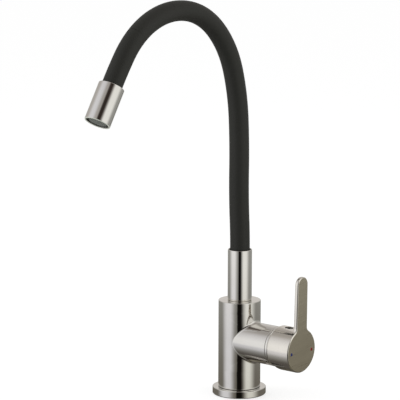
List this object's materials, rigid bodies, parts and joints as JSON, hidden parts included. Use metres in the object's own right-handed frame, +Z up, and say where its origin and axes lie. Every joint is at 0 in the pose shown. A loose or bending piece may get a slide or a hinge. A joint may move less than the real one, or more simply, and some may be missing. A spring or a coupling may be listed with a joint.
{
  "type": "kitchen faucet",
  "caption": "Single-hole kitchen faucet with a bendable silicone-covered gooseneck spout, aerator nozzle and a side lever on a short branch.",
  "frame": {"origin": "centre of the flange's underside at deck level, on the axis of the body", "axes": "+Z up along the body, +X along the lever's branch, the spout reaches out along -Y"},
  "size_m": [0.1068, 0.2423, 0.4605],
  "materials": {
    "chrome": "polished",
    "rubber": "matte",
    "steel": "satin",
    "brass": "satin",
    "white_plastic": "satin",
    "ceramic": "satin",
    "grey_plastic": "satin",
    "nickel": "satin",
    "blue_enamel": "gloss",
    "red_enamel": "gloss",
    "silicone": "matte"
  },
  "bodies": {
    "mixer_body": {"base_flange": "chrome", "base_gasket": "rubber", "body_casting": "chrome", "mounting_stud": "steel", "cartridge_seal": "rubber", "cartridge_base": "white_plastic", "fixed_disc": "ceramic", "cartridge_housing": "white_plastic", "cartridge_nut": "brass", "trim_ring": "chrome"},
    "clamp": {"clamp_rubber": "rubber", "clamp_plate": "steel"},
    "stud_nut": {"stud_nut": "brass"},
    "turret": {"stem_turret": "grey_plastic", "pivot_pin": "steel"},
    "sliding_discs": {"moving_disc": "ceramic", "disc_carrier": "white_plastic"},
    "lever": {"lever_handle": "nickel", "cartridge_stem": "brass", "clamping_screw": "steel", "screw_cap": "grey_plastic", "cold_mark": "blue_enamel", "hot_mark": "red_enamel"},
    "spout_foot": {"slide_ring": "grey_plastic", "spout_collar": "chrome", "spout_spigot": "brass", "o_ring_lower": "rubber", "o_ring_upper": "rubber", "snap_ring": "steel", "lower_ferrule": "steel", "hose_sleeve_1": "silicone", "hose_core_1": "steel"},
    "hose_link_2": {"hose_sleeve_2": "silicone", "hose_core_2": "steel"},
    "hose_link_3": {"hose_sleeve_3": "silicone", "hose_core_3": "steel"},
    "hose_link_4": {"hose_sleeve_4": "silicone", "hose_core_4": "steel"},
    "hose_link_5": {"hose_sleeve_5": "silicone", "hose_core_5": "steel"},
    "hose_link_6": {"hose_sleeve_6": "silicone", "hose_core_6": "steel"},
    "hose_link_7": {"hose_sleeve_7": "silicone", "hose_core_7": "steel"},
    "hose_link_8": {"hose_sleeve_8": "silicone", "hose_core_8": "steel"},
    "hose_link_9": {"hose_sleeve_9": "silicone", "hose_core_9": "steel", "nozzle_sleeve": "chrome", "nozzle_union": "brass", "upper_ferrule": "steel", "aerator_seal": "rubber", "flow_regulator": "grey_plastic", "aerator_housing": "grey_plastic", "aerator_screen": "steel"}
  },
  "joints": [
    {"name": "temperature", "type": "hinge", "parent": "mixer_body", "child": "turret", "pos_m": [0.0446, 0, 0.05485], "axis": [1, 0, 0], "range_deg": [-50, 50]},
    {"name": "lift", "type": "hinge", "parent": "turret", "child": "lever", "pos_m": [0.0446, 0, 0.05485], "axis": [0, 1, 0], "range_deg": [0, 25]},
    {"name": "disc_travel", "type": "slide", "parent": "turret", "child": "sliding_discs", "axis": [0, 0, 1], "range_m": [0, 0.0057]},
    {"name": "spout_swivel", "type": "hinge", "parent": "mixer_body", "child": "spout_foot", "pos_m": [0, 0, 0.095], "axis": [0, 0, 1], "continuous": true},
    {"name": "bend_1", "type": "hinge", "parent": "spout_foot", "child": "hose_link_2", "pos_m": [0, -0.00092, 0.17598], "axis": [1, 0, 0], "range_deg": [-20, 20]},
    {"name": "bend_2", "type": "hinge", "parent": "hose_link_2", "child": "hose_link_3", "pos_m": [0, -0.002, 0.22566], "axis": [0, 0.9998, -0.0175], "range_deg": [-20, 20]},
    {"name": "bend_3", "type": "hinge", "parent": "hose_link_3", "child": "hose_link_4", "pos_m": [0, -0.00308, 0.27533], "axis": [1, 0, 0], "range_deg": [-20, 20]},
    {"name": "bend_4", "type": "hinge", "parent": "hose_link_4", "child": "hose_link_5", "pos_m": [0, -0.01191, 0.32413], "axis": [1, 0, 0], "range_deg": [-25, 12]},
    {"name": "bend_5", "type": "hinge", "parent": "hose_link_5", "child": "hose_link_6", "pos_m": [0, -0.0376, 0.36605], "axis": [0, 0.6947, 0.7193], "range_deg": [-20, 20]},
    {"name": "bend_6", "type": "hinge", "parent": "hose_link_6", "child": "hose_link_7", "pos_m": [0, -0.08146, 0.38768], "axis": [1, 0, 0], "range_deg": [-25, 12]},
    {"name": "bend_7", "type": "hinge", "parent": "hose_link_7", "child": "hose_link_8", "pos_m": [0, -0.13019, 0.3817], "axis": [1, 0, 0], "range_deg": [-30, 15]},
    {"name": "bend_8", "type": "hinge", "parent": "hose_link_8", "child": "hose_link_9", "pos_m": [0, -0.16859, 0.35116], "axis": [0, -0.8141, 0.5807], "range_deg": [-25, 25]},
    {"name": "deck_clamp", "type": "slide", "parent": "mixer_body", "child": "clamp", "axis": [0, 0, 1], "range_m": [-0.025, 0.016]},
    {"name": "stud_nut_turn", "type": "hinge", "parent": "clamp", "child": "stud_nut", "pos_m": [-0.011, 0, -0.0299], "axis": [0, 0, 1], "continuous": true}
  ],
  "couplings": [
    {"joint": "disc_travel", "follows": "lift", "m_per_rad": 0.01306}
  ]
}
